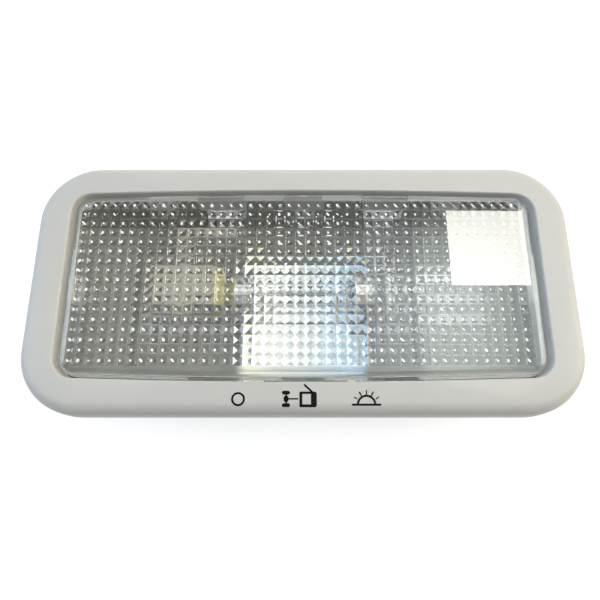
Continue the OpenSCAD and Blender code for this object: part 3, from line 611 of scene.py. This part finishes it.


# Clear plastic with pillow-shaped prisms, and a small white dot at each prism's point that is
# part glint and part painted highlight
def lens_clear():
    material, through = clear_material("lens_clear", LENS_IOR, LENS_TINT, TOP_SHADE)
    tree = material.node_tree
    shader = tree.nodes["Principled BSDF"]
    surface = tree.nodes["Material Output"].inputs["Surface"]
    clear = surface.links[0].from_socket
    sums = Sums(tree)
    place = split(tree, object_coords(tree))
    prisms = [prism_place(sums, place, axis) for axis in (0, 1)]
    offsets = [prism_offset(sums, prism) for prism in prisms]
    mask = prism_mask(sums, place, prisms)
    flat = flat_field(sums, place)
    add_pillow_bump(tree, sums, shader, offsets, weaken_flat(sums, mask, flat, FLAT_SWELL))
    frost_walls(tree, sums, shader, place, mask)
    shade = mix_colours(tree, TOP_SHADE, PRISM_SHADE, mask)
    tree.links.new(shade, through.inputs["Color"])
    dotted = weaken_flat(sums, mask, flat, FLAT_DOTS)
    dots = sums("MULTIPLY", dot_amount(tree, sums, prisms, offsets), dotted)
    tree.links.new(mix_shaders(tree, clear, dot_shader(tree), dots), surface)
    return material


def make_materials():
    materials = {name: moulded_plastic(name, *look) for name, look in PLASTICS.items()}
    materials.update({name: sheet_metal(name, *look) for name, look in METALS.items()})
    materials["lens_clear"] = lens_clear()
    materials["bulb_glass"] = bulb_glass()
    materials["reflector_metal"] = reflector_metal()
    materials["contact_brass"] = contact_brass()
    return materials


def dress(obj, material):
    if not obj.material_slots:
        obj.data.materials.append(material)
    for place in obj.material_slots:
        place.material = material


def slot_names():
    return {part["node"]: part["material_slot"] for part in frame["record"]["subparts"]}


def dress_nodes(materials):
    slots = slot_names()
    for name, node in frame["nodes"].items():
        dress(node, materials[slots[name]])


# Pieces: lengths in millimetres, angles in degrees

# Distance within which a copy's corners are joined, and the sharpest edge shaded smooth
JOIN_REACH = 0.002
SMOOTH_ANGLE = 30

# Rounded edges of the lens, and how much its large faces weigh in the shading
LENS_EDGE = 0.06
LENS_EDGE_SEGMENTS = 2
LENS_EDGE_ANGLE = 8
FACET_WEIGHT = 100

# Filament's wire and the coil that it is wound into
WIRE_RADIUS = 0.13
WIRE_SIDES = 8
WIRE_ANGLE = 50
WIRE_JOIN_REACH = 0.001
COIL_TURNS = 20
COIL_STEPS = 14


def pick(obj):
    bpy.ops.object.select_all(action="DESELECT")
    obj.select_set(True)
    bpy.context.view_layer.objects.active = obj


# A joined copy of a CAD node, which can be shaded smooth
def joined_copy(node, name):
    source = frame["nodes"][node]
    piece = bpy.data.objects.new(name, source.data.copy())
    bpy.context.scene.collection.objects.link(piece)
    pick(piece)
    bpy.ops.object.mode_set(mode="EDIT")
    bpy.ops.mesh.select_all(action="SELECT")
    bpy.ops.mesh.remove_doubles(threshold=JOIN_REACH * MM)
    bpy.ops.object.mode_set(mode="OBJECT")
    bpy.ops.mesh.customdata_custom_splitnormals_clear()
    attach(piece, source["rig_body"])
    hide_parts(node)
    return piece


def smooth_copy(node, name):
    piece = joined_copy(node, name)
    bpy.ops.object.shade_smooth_by_angle(angle=math.radians(SMOOTH_ANGLE))
    return piece


# The lens with the small radii that a mould leaves on every prism edge
def rounded_lens():
    lens = joined_copy("lens", "lens_moulded")
    edge = lens.modifiers.new("edge_radii", "BEVEL")
    edge.width = LENS_EDGE * MM
    edge.segments = LENS_EDGE_SEGMENTS
    edge.limit_method = "ANGLE"
    edge.angle_limit = math.radians(LENS_EDGE_ANGLE)
    bpy.ops.object.modifier_apply(modifier="edge_radii")
    bpy.ops.object.shade_smooth()
    flat = lens.modifiers.new("flat_facets", "WEIGHTED_NORMAL")
    flat.weight = FACET_WEIGHT
    bpy.ops.object.modifier_apply(modifier="flat_facets")
    return lens


# Section of the filament's wire at the left end of the coil, above the coil's axis
def wire_section(place, coil_radius):
    bpy.ops.object.select_all(action="DESELECT")
    bpy.ops.mesh.primitive_circle_add(vertices=WIRE_SIDES, radius=WIRE_RADIUS * MM,
                                      fill_type="NGON", location=place,
                                      rotation=(math.pi / 2, 0, 0))
    section = bpy.context.object
    bpy.ops.object.mode_set(mode="EDIT")
    bpy.ops.mesh.select_all(action="SELECT")
    bpy.ops.transform.translate(value=(0, 0, coil_radius))
    bpy.ops.object.mode_set(mode="OBJECT")
    return section


# Tungsten coil between the bulb's two lead wires
def coiled_filament():
    low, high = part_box("bulb_filament")
    radius = WIRE_RADIUS * MM
    start = (low[0] + radius, 0, (low[2] + high[2]) / 2)
    coil = wire_section(start, (high[2] - low[2]) / 2 - radius)
    coil.name = "filament_coil"
    wind = coil.modifiers.new("wind", "SCREW")
    wind.axis = "X"
    wind.screw_offset = (high[0] - low[0] - 2 * radius) / COIL_TURNS
    wind.iterations = COIL_TURNS
    wind.steps = wind.render_steps = COIL_STEPS
    wind.use_merge_vertices = True
    wind.merge_threshold = WIRE_JOIN_REACH * MM
    bpy.ops.object.modifier_apply(modifier="wind")
    bpy.ops.object.transform_apply(location=True, rotation=True, scale=True)
    bpy.ops.object.mode_set(mode="EDIT")
    bpy.ops.mesh.select_all(action="SELECT")
    bpy.ops.mesh.normals_make_consistent(inside=False)
    bpy.ops.object.mode_set(mode="OBJECT")
    bpy.ops.object.shade_smooth_by_angle(angle=math.radians(WIRE_ANGLE))
    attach(coil, frame["nodes"]["bulb_filament"]["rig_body"])
    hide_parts("bulb_filament")
    return coil


def shape_pieces(materials):
    dress(rounded_lens(), materials["lens_clear"])
    dress(coiled_filament(), materials["filament_wire"])
    slots = slot_names()
    for node in sorted(set(frame["nodes"]) - {"bezel", "lens", "bulb_filament"}):
        dress(smooth_copy(node, node + "_finished"), materials[slots[node]])


# Printed signs on the rim below the lens: lengths in millimetres, seen from above

# Thickness of the ink, its lift off the rim, the height at which the flat signs are drawn,
# and the rows that they are cut into
INK = 0.02
INK_LIFT = 0.01
PRINT_HEIGHT = 35
CUT_STEP = 0.35

# Steps round a patch's corner, sides of a disc, and a stroke's corner as a share of its width
CORNER_SEGMENTS = 6
ROUND_SIDES = 64
STROKE_END = 0.49

# Ring
OFF_MIDDLE = (-14.8, -28.4)
OFF_SIZE = (3.16, 3.16)
OFF_LINE = 0.48

# Car seen from above: wheels, hub, axle, shaft and door; a stroke has two ends and a width
WHEEL_SIZE = (1.84, 0.85)
WHEELS = (((-3.89, -26.95), 0.40), ((-3.89, -29.75), 0.34))
HUB_MIDDLE = (-3.86, -28.35)
HUB_SIZE = (1.15, 1.6)
AXLE = ((-3.82, -27.2), (-3.82, -29.5), 0.36)
SHAFT = ((-3.5, -28.35), (-1.2, -28.35), 0.34)
OPEN_DOOR = ((0.36, -25.2), (2.3, -27.0), 0.46)

# The cab's walls, each with its middle, its size and its corners
CAB_WALLS = (
    ((-0.49, -28.45), (0.66, 3.45), 0.12),
    ((0.9, -26.97), (2.9, 0.54), 0.1),
    ((0.9, -29.88), (2.9, 0.60), 0.1),
    ((2.48, -28.45), (1.34, 3.45), 0.52),
)

# Rising sun over its horizon
SUN_MIDDLE = Vector((14.47, -29.64))
SUN_SIZE = (4.45, 4.45)
SUN_LINE = 0.50
HORIZON = ((11.3, -29.64), (17.6, -29.64), 0.47)
RAY_END = 3.2

# The sun's rays, each with its angle, where it starts and its width
RAYS = (
    (31, 2.55, 0.27),
    (61, 2.4, 0.32),
    (90, 2.3, 0.27),
    (120, 2.4, 0.32),
    (149, 2.6, 0.27),
)


def print_place(middle):
    return (middle[0] * MM, middle[1] * MM, PRINT_HEIGHT * MM)


def apply_size(shape, size):
    shape.scale = (size[0] * MM, size[1] * MM, 1)
    bpy.ops.object.transform_apply(location=True, rotation=True, scale=True)


# Flat patch with rounded corners
def print_patch(middle, size, corner, turn=0):
    bpy.ops.object.select_all(action="DESELECT")
    bpy.ops.mesh.primitive_plane_add(size=1, location=print_place(middle), rotation=(0, 0, turn))
    patch = bpy.context.object
    apply_size(patch, size)
    bpy.ops.object.mode_set(mode="EDIT")
    bpy.ops.mesh.select_all(action="SELECT")
    bpy.ops.mesh.bevel(offset=corner * MM, segments=CORNER_SEGMENTS, affect="VERTICES")
    bpy.ops.object.mode_set(mode="OBJECT")
    return patch


# Flat bar from one point to another, round at both ends
def print_stroke(start, end, width):
    middle = (Vector(start) + Vector(end)) / 2
    along = Vector(end) - Vector(start)
    size = (along.length + width, width)
    return print_patch(middle, size, width * STROKE_END, math.atan2(along.y, along.x))


# Flat disc or oval, hollow where the width of its line is given
def print_round(middle, size, line=None):
    bpy.ops.object.select_all(action="DESELECT")
    bpy.ops.mesh.primitive_circle_add(vertices=ROUND_SIDES, radius=0.5, fill_type="NGON",
                                      location=print_place(middle))
    disc = bpy.context.object
    apply_size(disc, size)
    if line:
        bpy.ops.object.mode_set(mode="EDIT")
        bpy.ops.mesh.select_all(action="SELECT")
        bpy.ops.mesh.inset(thickness=line * MM)
        bpy.ops.mesh.delete(type="FACE")
        bpy.ops.object.mode_set(mode="OBJECT")
    return disc


# Cuts away what lies below a height on the rim
def trim_below(piece, low):
    pick(piece)
    bpy.ops.object.mode_set(mode="EDIT")
    bpy.ops.mesh.select_all(action="SELECT")
    bpy.ops.mesh.bisect(plane_co=(0, low * MM, 0), plane_no=(0, 1, 0), clear_inner=True)
    bpy.ops.object.mode_set(mode="OBJECT")
    return piece


def join_strokes(strokes, name):
    bpy.ops.object.select_all(action="DESELECT")
    for stroke in strokes:
        stroke.select_set(True)
    bpy.context.view_layer.objects.active = strokes[0]
    if len(strokes) > 1:
        bpy.ops.object.join()
    strokes[0].name = name
    return strokes[0]


# Cuts a flat sign into narrow rows, so that it can follow the rim's curve
def cut_rows(sign):
    heights = [corner.co.y for corner in sign.data.vertices]
    low = min(heights)
    rows = int((max(heights) - low) / (CUT_STEP * MM))
    bpy.ops.object.mode_set(mode="EDIT")
    for row in range(rows):
        cut = low + (row + 0.5) * CUT_STEP * MM
        bpy.ops.mesh.select_all(action="SELECT")
        bpy.ops.mesh.bisect(plane_co=(0, cut, 0), plane_no=(0, 1, 0))
    bpy.ops.object.mode_set(mode="OBJECT")


# Joins flat strokes to one sign, lays it on the rim and gives it the thickness of the ink
def lay_on_rim(strokes, name, bezel, ink):
    sign = join_strokes(strokes, name)
    cut_rows(sign)
    drape = sign.modifiers.new("drape", "SHRINKWRAP")
    drape.target = bezel
    drape.wrap_method = "PROJECT"
    drape.use_project_z = True
    drape.use_negative_direction = True
    drape.use_positive_direction = False
    drape.offset = INK_LIFT * MM
    bpy.ops.object.modifier_apply(modifier="drape")
    film = sign.modifiers.new("film", "SOLIDIFY")
    film.thickness = INK * MM
    film.offset = 1
    bpy.ops.object.modifier_apply(modifier="film")
    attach(sign, "housing")
    dress(sign, ink)


def off_strokes():
    return [print_round(OFF_MIDDLE, OFF_SIZE, OFF_LINE)]


def doors_strokes():
    strokes = [print_patch(middle, WHEEL_SIZE, corner) for middle, corner in WHEELS]
    strokes += [print_stroke(*AXLE), print_round(HUB_MIDDLE, HUB_SIZE), print_stroke(*SHAFT)]
    strokes += [print_patch(*wall) for wall in CAB_WALLS]
    return strokes + [print_stroke(*OPEN_DOOR)]


def on_strokes():
    dome = trim_below(print_round(SUN_MIDDLE, SUN_SIZE, SUN_LINE), SUN_MIDDLE.y)
    strokes = [dome, print_stroke(*HORIZON)]
    for angle, inner, width in RAYS:
        ray = Vector((math.cos(math.radians(angle)), math.sin(math.radians(angle))))
        strokes.append(print_stroke(SUN_MIDDLE + inner * ray, SUN_MIDDLE + RAY_END * ray, width))
    return strokes


def print_signs(bezel, ink):
    lay_on_rim(off_strokes(), "sign_off", bezel, ink)
    lay_on_rim(doors_strokes(), "sign_doors", bezel, ink)
    lay_on_rim(on_strokes(), "sign_on", bezel, ink)


make_camera()
make_world()
make_lights()
make_floor()
materials = make_materials()
dress_nodes(materials)
bezel = smooth_copy("bezel", "bezel_moulded")
dress(bezel, materials["bezel_plastic"])
print_signs(bezel, sign_ink())
shape_pieces(materials)

bpy.context.scene.view_settings.view_transform = "Standard"
